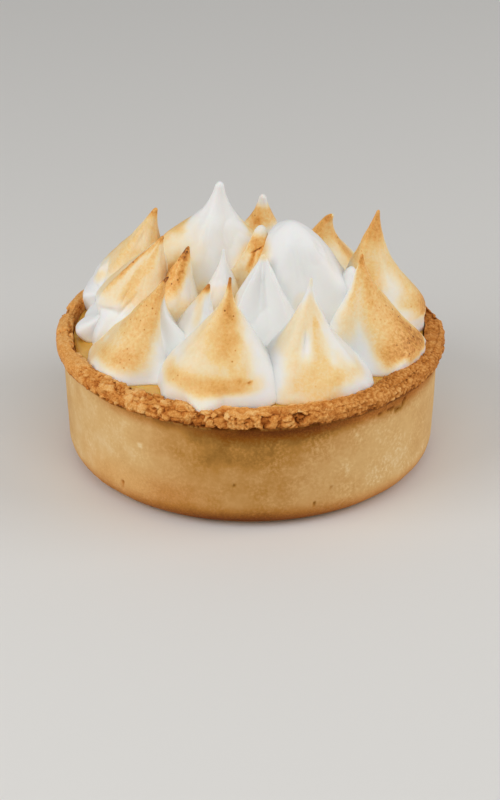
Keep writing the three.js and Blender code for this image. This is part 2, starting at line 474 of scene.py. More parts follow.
@dataclass
class Shell:
    """The shortcrust shell: a thick cup with a crumbly rim that overhangs outside.

    Lump, crumb and grain are the spacings of the rim's coarse lumps, of the crumbs
    that some of them broke into and of its sandy grains. Seed settles how they are
    warped, which Blender's noise would otherwise take from the clock.
    """

    radius: float = 44.9
    corner: float = 6.0
    flare: float = 1.0
    rim_radius: float = 47.75
    underside: float = 28.1
    height: float = 32.6
    mouth: float = 42.6
    oval: float = 1.0
    jagged: float = 0.4
    bends: tuple[Bend, ...] = (
        Bend(-37, 9, -2.1),
        Bend(-105, 5, 2.5, 4),
        Bend(-104.5, 2.5, 1.5),
        Bend(3, 14, -1.1, 4),
    )
    wave: float = 0.35
    floor: float = 4.0
    segments: int = 1060
    ring_step: float = 0.27
    lump: float = 2.2
    crumb: float = 1.1
    grain: float = 0.75
    seed: int = 1795525288
    blemishes: tuple[Blemish, ...] = (
        Blemish(-48.0, 25.5, 0.8, 0.25, 0.2, 0.35),
        Blemish(-46.0, 25.9, 0.7, 0.3, 0.3, 0.4),
        Blemish(-43.0, 25.4, 1.2, 0.5, 0.4, 0.4),
        Blemish(-40.6, 24.4, 1.0, 0.45, 0.5, 0.45),
        Blemish(-38.6, 24.3, 0.9, 0.4, 0.5, 0.45),
        Blemish(-37.2, 25.2, 0.45, 0.6, 0.5, 0.5),
        Blemish(-36.4, 26.0, 0.5, 0.5, 0.5, 0.55),
        Blemish(-133.1, 6.5, 0.6, 0.6, 0.5, 0.45),
        Blemish(-131.2, 5.5, 1.0, 0.35, 0.2, 0.25),
        Blemish(-70.2, 5.8, 0.4, 0.7, 0.4, 0.4),
        Blemish(-94.9, 12.2, 0.4, 0.3, 0.3, 0.3),
        Blemish(-64.8, 9.6, 0.4, 0.3, 0.3, 0.3),
        Blemish(-125.1, 19.0, 0.9, 0.7, -0.1, -0.25),
        Blemish(-127.9, 17.4, 0.5, 0.3, -0.1, -0.15),
    )
    dents: tuple[Blemish, ...] = (
        Blemish(168.0, 31.0, 2.6, 4.0, 0.9, 0.1),
        Blemish(-177.5, 30.5, 1.0, 3.0, 0.6, 0.1),
        Blemish(17.0, 31.5, 7.5, 5.0, 1.3, 0.0),
        Blemish(-40.5, 30.4, 3.0, 0.8, -0.2, -0.2),
        Blemish(-44.0, 29.8, 1.6, 0.7, -0.2, -0.2),
        Blemish(-91.0, 28.9, 1.3, 0.8, -0.3, -0.15),
        Blemish(-107.0, 29.4, 1.2, 0.8, -0.3, -0.15),
    )

    def mouth_radius(self, angle: float) -> float:
        """Work out how wide the mouth is in a direction.

        Args:
            angle: Angle round the tart, in radians.

        Returns:
            Inner radius of the rim.
        """
        degrees = math.degrees(angle)
        wander = noise.noise(Vector((math.cos(angle) * 17, math.sin(angle) * 17, 4.0)))
        radius = self.mouth + self.oval * math.cos(2 * angle) + self.jagged * wander
        for bend in self.bends:
            radius += bend.out * bell(angle_apart(degrees, bend.around), bend.width, bend.flat)
        return radius

    def build(self, material: bpy.types.Material) -> None:
        """Build the shell's mesh and place it.

        Args:
            material: The pastry's finish.
        """
        noise.seed_set(self.seed)
        mesh = turned(self.profile(), self.segments)
        rim = mesh.verts.layers.float.new("rim")
        bake = mesh.verts.layers.float.new("bake")
        flecked = mesh.verts.layers.float.new("flecked")
        mesh.normal_update()
        for vert in mesh.verts:
            baked = self.weather(vert.co, vert.normal)
            vert.co = baked.place
            vert[rim] = baked.rim
            vert[bake] = baked.bake
            vert[flecked] = baked.flecked
        place_piece(mesh, "shortcrust_shell", "shell", material)

    def profile(self) -> list[tuple[float, float]]:
        """Work out the shell's section.

        Returns:
            Radius and height of each point, from the axis out, up, in and back.
        """
        points = [(0.0, 0.0), (20.0, 0.0), (36.0, 0.0)]
        centre = self.radius - self.corner
        for step in range(9):
            turn = math.radians(-90 + 90 * step / 8)
            points.append((centre + self.corner * math.cos(turn), self.corner * (1 + math.sin(turn))))
        lip = [
            (self.radius, self.corner),
            (self.radius + self.flare, self.underside - 0.5),
            (self.rim_radius - 1.0, self.underside - 0.2),
            (self.rim_radius - 0.3, self.underside + 0.2),
            (self.rim_radius, self.underside + 1.0),
            (self.rim_radius, self.underside + 2.4),
            (self.rim_radius - 0.4, self.height - 1.3),
            (self.rim_radius - 1.3, self.height - 0.5),
            (self.mouth + 1.4, self.height),
            (self.mouth, self.height - 0.6),
            (self.mouth - 0.2, self.height - 1.8),
            (self.mouth - 0.2, self.underside),
        ]
        for start, end in zip(lip, lip[1:]):
            plain = start[1] == self.corner or end[1] == self.underside
            spacing = self.ring_step * (2.6 if plain else 1.0)
            steps = max(1, round(math.dist(start, end) / spacing))
            for step in range(1, steps + 1):
                share = step / steps
                points.append((
                    start[0] + (end[0] - start[0]) * share,
                    start[1] + (end[1] - start[1]) * share,
                ))
        points += [(41.0, 20.0), (41.0, self.floor + 3), (38.0, self.floor), (0.0, self.floor)]
        return points

    def weather(self, point: Vector, normal: Vector) -> Weathering:
        """Work out where a point of the plain shell ends up, and how it baked.

        Args:
            point: Place on the plain shell.
            normal: Outward direction there.

        Returns:
            The point as baked.
        """
        across = math.hypot(point.x, point.y)
        angle = math.atan2(point.y, point.x)
        degrees = math.degrees(angle)
        if across < self.mouth - 0.5 and point.z > 0.1:
            return Weathering(point.copy(), 0.0, 0.3)
        lip = self.radius + self.flare
        on_rim = smooth_step(self.underside - 0.5, self.underside - 0.1, point.z)
        if across > lip + 0.05:
            on_rim = max(on_rim, smooth_step(lip + 0.05, lip + 0.35, across))
        moved = point.copy()
        if across < self.rim_radius and point.z > self.underside - 1:
            share = smooth_step(self.rim_radius - 0.5, self.mouth, across)
            scale = 1 + share * (self.mouth_radius(angle) / self.mouth - 1)
            moved.x *= scale
            moved.y *= scale
        if point.z > self.underside:
            # The top stands highest at the left and waves a little all round.
            lift = self.wave * (math.cos(angle - math.radians(165)) + 0.5 * math.sin(5 * angle) - 0.4)
            moved.z += lift * smooth_step(self.underside, self.height, point.z)
        if on_rim <= 0:
            return self.wall(moved, normal, degrees)
        return self.rim(moved, normal, degrees, on_rim)

    def rim(self, point: Vector, normal: Vector, degrees: float, share: float) -> Weathering:
        """Work out how a point of the rim crumbled and baked.

        Args:
            point: Place on the plain rim.
            normal: Outward direction there.
            degrees: Angle round the tart.
            share: 1 on the rim, and less where it meets the wall.

        Returns:
            The point as baked.
        """
        right = sector(degrees, 0, 85, 45)
        left = sector(degrees, -178, 40, 20)
        side_face = smooth_step(0.9, 0.4, normal.z)
        edge = math.hypot(point.x, point.y) - self.mouth_radius(math.radians(degrees))
        # Curd ran over the inner edge at the front and baked there to a glaze.
        glazed = (1 - side_face) * smooth_step(3.4, 2.0, edge) * sector(degrees, -74, 26, 20)
        smear = glazed * smooth_step(1.7, 1.0, edge)
        # The front broke into coarse lumps, the left stayed smooth and the right is sandy.
        coarse = (1 - 0.85 * left) * (1 - 0.6 * right) * (1 - 0.7 * glazed)
        coarse = max(coarse, (0.8 - 0.5 * right) * smooth_step(1.4, 0.4, edge))
        sandy = right * (1 - 0.65 * sector(degrees, 8, 38, 15))
        sunk, browner_and_shaded = self.crumble(point)
        speck = self.speckle(point)
        depth = coarse * sunk + 0.28 * max(sandy, 0.5 * coarse) * (1 - speck)
        depth += 0.25 * noise.noise(point / 5.5) + 0.14
        low = side_face * smooth_step(self.height - 0.6, self.underside, point.z)
        # Faces that look down under the overhang are darker: painted shade, with some real browning. The
        # rim is also darker to the right and a little paler on the left and on its flat top.
        under_shade_and_bake = smooth_step(-0.1, -0.6, normal.z)
        bake = 0.28 + 0.07 * coarse + 0.22 * right - 0.04 * left + 0.1 * noise.noise(point / 6.0)
        bake += 0.02 * low + 0.38 * under_shade_and_bake - 0.06 * (1 - side_face) + 0.14 * glazed - 0.3 * smear
        # Lumps are darker in their cracks and hollows: painted shade, with some real browning.
        bake += coarse * browner_and_shaded + (0.12 + 0.26 * sandy) * (0.5 - speck)
        for dent in self.dents:
            cover = dent.cover(degrees, point)
            depth += dent.depth * cover
            bake += dent.brown * cover * (0.3 + speck)
        push = normal
        if point.z < self.height - 1.0 and math.hypot(point.x, point.y) > self.radius:
            push = (normal * 0.3 + Vector((point.x, point.y, 0.0)).normalized()).normalized()
        moved = point - push * (share * max(0.0, depth))
        return Weathering(moved, share * (1 - 0.22 * right), min(1.0, max(0.0, bake)))

    def crumble(self, point: Vector) -> tuple[float, float]:
        """Break the pastry into lumps, some of them crumbled smaller or fallen out.

        Args:
            point: Place on the plain rim.

        Returns:
            How far the surface sinks, in millimetres, and how much darker it is: painted shade in the
            cracks, chinks and fallen-out hollows, with some real browning and random tone.
        """
        warped = point + noise.noise_vector(point / 1.3) * 0.5 + noise.noise_vector(point / 4.0) * 0.9
        spans, seeds = noise.voronoi(warped / self.lump)
        crack = 1 - smooth_step(0.02, 0.17, spans[1] - spans[0])
        sunk = noise.cell(seeds[0] * 7.3)
        fallen = smooth_step(0.78, 0.86, noise.cell(seeds[0] * 5.1 + Vector((3, 0, 0))))
        split = smooth_step(0.25, 0.4, noise.cell(seeds[0] * 3.7 + Vector((0, 5, 0))))
        small, grains = noise.voronoi((warped + Vector((9, 0, 0))) / self.crumb)
        chink = split * (1 - smooth_step(0.02, 0.2, small[1] - small[0]))
        rounded = 1 - math.sqrt(max(0.0, 1 - (small[0] / 0.85) ** 2))
        deep = 0.35 + 0.65 * smooth_step(-0.2, 0.25, noise.noise(point / 2.6 + Vector((0, 0, 9))))
        depth = 0.65 * crack * deep + 0.4 * sunk + 0.45 * chink * deep + (0.2 + 0.3 * split) * rounded
        depth += 0.25 * split * noise.cell(grains[0] * 4.9) + 0.7 * fallen
        # Cracks, chinks and fallen-out hollows are darker: painted shade in these recesses, with some
        # real browning.
        brown = 0.32 * crack * deep + 0.26 * chink * deep + 0.16 * (sunk - 0.5) + 0.22 * fallen
        return depth, brown

    def speckle(self, point: Vector) -> float:
        """How much of a sandy grain stands at a point of the rim, from 0 to 1."""
        near, _ = noise.voronoi((point + noise.noise_vector(point / 0.7) * 0.15) / self.grain)
        return 1 - min(1.0, near[0] / 0.7) ** 2

    def wall(self, point: Vector, normal: Vector, degrees: float) -> Weathering:
        """Work out how a point of the wall or the underside baked.

        Args:
            point: Place on the plain wall.
            normal: Outward direction there.
            degrees: Angle round the tart.

        Returns:
            The point as baked.
        """
        # The front is darker, most of all at the foot: partly real browning and partly painted shade,
        # where the front faces away from the side lights and where the foot curves under. The two sides
        # are a little browner.
        front = sector(degrees, -93, 47, 5)
        low = smooth_step(7.2, 1.0, point.z) * (0.36 + 0.1 * front)
        middle = front * (0.3 + 0.13 * smooth_step(14, 20, point.z))
        left = 0.03 * sector(degrees, -128, 34, 12) * smooth_step(15, 7, point.z)
        sides = 0.12 * sector(degrees, 180, 28, 8) + 0.08 * sector(degrees, -12, 30, 12)
        sides *= smooth_step(24, 16, point.z) * smooth_step(5, 10, point.z)
        # Below the rim the wall is darker: painted shadow of the overhanging rim, with some real
        # browning.
        under_shade_and_bake = self.under_rim_shade_and_bake(point.z, degrees)
        cloud = noise.fractal(point / 11.0, 1.0, 2.0, 4)
        bake = 0.2 + middle + low + left + sides + under_shade_and_bake + 0.08 * cloud
        # Near the foot and under the rim the wall turns a warmer orange: partly real browning, partly
        # painted orange bounce light in these recesses.
        warm_bake_and_bounce = max(low, 6 * left, (under_shade_and_bake - 0.06) * smooth_step(24.0, 26.4, point.z))
        flecked = 0.33 + 0.25 * sector(degrees, -52, 48, 22)
        flecked = max(0.0, flecked * (1 + 1.2 * noise.noise(point / 5.0)))
        depth = 0.1 * (1 + noise.noise(point / 7.0))
        for blemish in self.blemishes:
            cover = blemish.cover(degrees, point)
            depth += blemish.depth * cover
            bake += blemish.brown * cover
        moved = point - normal * max(0.0, depth)
        return Weathering(moved, min(1.0, 2 * warm_bake_and_bounce), min(1.0, max(0.0, bake)), flecked)

    def under_rim_shade_and_bake(self, height: float, degrees: float) -> float:
        """How much darker the wall is in the band below the rim: painted shadow of the overhanging rim,
        with some real browning.

        Args:
            height: Height on the wall, in millimetres.
            degrees: Angle round the tart.

        Returns:
            Darkening from 0 to 1, strongest at the front and none at the back.
        """
        right_end = smooth_step(25, -10, degrees)
        broad = 0.06 * smooth_step(16, 20, height) + 0.36 * smooth_step(22, 26.8, height)
        broad *= smooth_step(-125, -100, degrees)
        narrow = 0.4 * smooth_step(23.5, 27.4, height) * smooth_step(-158, -118, degrees)
        under_shade_and_bake = max(broad, narrow) * right_end
        under_shade_and_bake += 0.05 * smooth_step(21, 24, height) * sector(degrees, -45, 34, 15)
        return under_shade_and_bake - 0.14 * smooth_step(23, 27, height) * sector(degrees, -108, 30, 8)


@dataclass
class Curd:
    """The lemon curd that fills the shell, level but for a low meniscus."""

    level: float = 30.0
    bottom: float = 4.3
    radius: float = 42.2
    meniscus: float = 0.35
    ripple: float = 0.12
    gap: float = 0.25
    shaped_above: float = 27.0
    rings: int = 30
    segments: int = 180

    def build(self, shell: Shell, material: bpy.types.Material) -> None:
        """Build the curd and place it.

        Args:
            shell: The shell that holds it.
            material: The curd's finish.
        """
        profile = [(0.0, self.bottom), (38.0, self.bottom), (40.7, self.bottom + 2.7), (40.7, 20.0)]
        profile += [(self.radius, 28.0), (self.radius, self.level + self.meniscus)]
        for ring in range(1, self.rings):
            profile.append((self.radius * (1 - ring / self.rings), self.level))
        profile.append((0.0, self.level))
        mesh = turned(profile, self.segments)
        for vert in mesh.verts:
            if vert.co.z > self.shaped_above:
                angle = math.atan2(vert.co.y, vert.co.x)
                scale = (shell.mouth_radius(angle) - self.gap) / (shell.mouth - self.gap)
                vert.co.x *= scale
                vert.co.y *= scale
                vert.co.z += self.ripple * noise.noise(vert.co / 6)
        place_piece(mesh, "curd_filling", "lemon_curd", material)


@dataclass(frozen=True)
class Patch:
    """A rounded patch of a kiss's surface.

    Attributes:
        around: Middle round the kiss, in degrees.
        up: Middle, as a share of the height from foot to tip.
        width: Half-width in degrees.
        height: Half-height as a share of the kiss's height.
        slant: How far it drifts round the kiss from foot to tip, in degrees.
    """

    around: float
    up: float
    width: float
    height: float
    slant: float = field(default=0.0, kw_only=True)

    def offset(self, around: float, up: float) -> tuple[float, float]:
        """How far a place is from the middle, in half-widths and half-heights."""
        middle = self.around + self.slant * (up - self.up)
        return angle_apart(around, middle) / self.width, (up - self.up) / self.height


@dataclass(frozen=True)
class Stroke(Patch):
    """A pass of the torch over part of a kiss, or a part that it missed. Some strokes also darken parts
    of a kiss that lie in shade, as painted shade.

    Attributes:
        brown: How brown it turns, from 0 for white to 1 for burnt, painted shade included.
        soft: How softly it fades at its edge, from 0 to 1.
    """

    brown: float
    soft: float = 0.6

    def cover(self, around: float, up: float, drift: float) -> float:
        """How much of it covers a place, from 0 to 1, with its edge drawn in by a drift."""
        reach = sum(abs(part) ** 3 for part in self.offset(around, up)) ** (1 / 3) + drift
        return smooth_step(1 + self.soft, 1 - self.soft, reach)


@dataclass(frozen=True)
class Swell(Patch):
    """A lobe, ridge or hollow on a kiss.

    Attributes:
        rise: How far it stands out, in millimetres, or in when negative.
        crest: 2 for a soft crest, down to 1 for a sharp one and up to 4 for a flat one.
    """

    rise: float
    crest: float = 2.0

    def height_at(self, around: float, up: float) -> float:
        """How far it lifts the surface at a place on the kiss, in millimetres."""
        apart, raised = self.offset(around, up)
        return self.rise * math.exp(-(abs(apart) ** self.crest) - raised * raised)


@dataclass
class Kiss:
    """One piped kiss of meringue.

    Attributes:
        name: Its place on the tart, as in the CAD node's name.
        foot: Centre of the foot.
        radii: Half-width and half-depth of the foot.
        tip: End of the peak.
        belly: Low for a straight cone, high for a full dome.
        neck: High for a peak pulled in thin.
        lean: How late it bends towards its tip.
        bow: How far its middle is pushed sideways.
        strokes: Passes of the torch, in order, some of them painted shade.
        swells: Lobes, ridges and hollows.
        tip_radius: Radius of its rounded end, in millimetres.
        hook: How far its end curls to the right, in millimetres.
        folds: Depth of the folds that the spoon left, in millimetres.
        overhang: How far it bulges out over the rim, in millimetres.
        grit: How blistered its browned skin is, from 0 to 1.
        segments: Steps round it, more for one with fine creases.
    """

    name: str
    foot: tuple[float, float]
    radii: tuple[float, float]
    tip: tuple[float, float, float]
    belly: float
    neck: float
    lean: float
    bow: float
    strokes: tuple[Stroke, ...] = ()
    swells: tuple[Swell, ...] = ()
    tip_radius: float = 0.35
    hook: float = 0.0
    folds: float = 0.15
    overhang: float = 0.0
    grit: float = 0.1
    segments: int = 128

    # The same for every kiss: the foot's height and how it tucks in, the rings from
    # foot to tip, and how far and how softly it presses into the rim.
    foot_height: ClassVar[float] = 29.95
    foot_round: ClassVar[float] = 2.2
    tuck: ClassVar[float] = 0.04
    corner: ClassVar[float] = 0.7
    rings: ClassVar[int] = 88
    crowding: ClassVar[float] = 1.45
    hook_power: ClassVar[int] = 14
    press_depth: ClassVar[float] = 0.35
    press_softness: ClassVar[float] = 0.5

    def build(self, shell: Shell, material: bpy.types.Material) -> None:
        """Build the kiss and place it.

        Args:
            shell: The shell whose rim it presses against.
            material: The meringue's finish.
        """
        profile = [(0.0, 0.0)]
        for ring in range(self.rings):
            profile.append((1.0, 1 - (1 - ring / self.rings) ** self.crowding))
        profile.append((0.0, 1.0))
        mesh = turned(profile, self.segments)
        toast_and_shade = mesh.verts.layers.float.new("toast_and_shade")
        grit = mesh.verts.layers.float.new("grit")
        for vert in mesh.verts:
            around = math.degrees(math.atan2(vert.co.y, vert.co.x))
            up = vert.co.z
            vert.co = self.press(self.surface(vert.co, around, up), shell)
            vert[toast_and_shade] = self.browning(vert.co, around, up)
            vert[grit] = self.grit
        place_piece(mesh, f"meringue_{self.name}", f"kiss_{self.name}", material)

    def surface(self, unit: Vector, around: float, up: float) -> Vector:
        """Carry a point of the unit cylinder to the kiss's surface.

        Args:
            unit: The point, with its radius from 0 to 1.
            around: Its angle in degrees.
            up: Its height share from the foot to the tip.

        Returns:
            The point in the tart's frame.
        """
        height = self.tip[2] - self.foot_height
        lifted = min(1.0, up * height / self.foot_round)
        tucked = 1 - self.tuck * (1 - math.sqrt(1 - (1 - lifted) ** 2))
        width = (1 - up**self.belly) ** self.neck * tucked
        cap = max(0.0, 1 - (1 - up) * height / (self.tip_radius * 1.4))
        blunt = self.tip_radius * math.sqrt(1 - cap * cap)
        turn = math.radians(around)
        rise = sum(swell.height_at(around, up) for swell in self.swells)
        streak = noise.noise(Vector((math.cos(turn) * 2.2, math.sin(turn) * 2.2, up * 1.6 + self.tip[0])))
        body = Vector((unit.x * self.radii[0], unit.y * self.radii[1], 0.0))
        outward = Vector((unit.x, unit.y, 0.0))
        thick = min(1.0, width * (self.radii[0] + self.radii[1]) / 6)
        point = body * (width * self.squareness(turn, up))
        point += outward * (blunt + (rise + 0.4 * streak) * thick)
        towards = up**self.lean
        point.x += self.foot[0] + (self.tip[0] - self.foot[0] - self.hook) * towards
        point.x += self.bow * math.sin(math.pi * up) + self.hook * up**self.hook_power
        point.y += self.foot[1] + (self.tip[1] - self.foot[1]) * towards
        point.z = self.foot_height + height * up
        wobble = noise.noise(point / 8.0) * 0.45 + noise.noise(point / 3.5) * 0.14
        fold = noise.noise(Vector((point.x / 3.6, point.y / 3.6, point.z / 9.0)))
        wobble -= self.folds * (1 - 2 * abs(fold)) ** 3
        return point + outward * (wobble * thick)

    def squareness(self, turn: float, up: float) -> float:
        """How far the outline stands out past an ellipse at an angle in radians."""
        power = 2 + self.corner * (1 - up) ** 2
        return (abs(math.cos(turn)) ** power + abs(math.sin(turn)) ** power) ** (-1 / power)

    def press(self, point: Vector, shell: Shell) -> Vector:
        """Press a point back from the rim, softly.

        Args:
            point: The point in the tart's frame.
            shell: The shell whose rim the kiss presses against.

        Returns:
            The point, inside the rim's mouth or out over the rim where it overhangs.
        """
        across = math.hypot(point.x, point.y)
        limit = shell.mouth_radius(math.atan2(point.y, point.x)) + self.press_depth
        limit += self.overhang * smooth_step(shell.height + 0.3, shell.height + 2.5, point.z)
        soft = self.press_softness
        pressed = limit - soft * math.log1p(math.exp((limit - across) / soft))
        return Vector((point.x * pressed / across, point.y * pressed / across, point.z))

    def browning(self, point: Vector, around: float, up: float) -> float:
        """Work out how brown the torch left a point of the kiss, with the painted shade that some strokes
        add.

        Args:
            point: The point in the tart's frame.
            around: Its angle round the kiss, in degrees.
            up: Its height share from the foot to the tip.

        Returns:
            Browning from 0 for white to 1 for burnt.
        """
        brown = 0.0
        drift = noise.noise(point / 3.0) * 0.12 + noise.noise(point / 1.2) * 0.05
        for stroke in self.strokes:
            brown += (stroke.brown - brown) * stroke.cover(around, up, drift)
        return brown
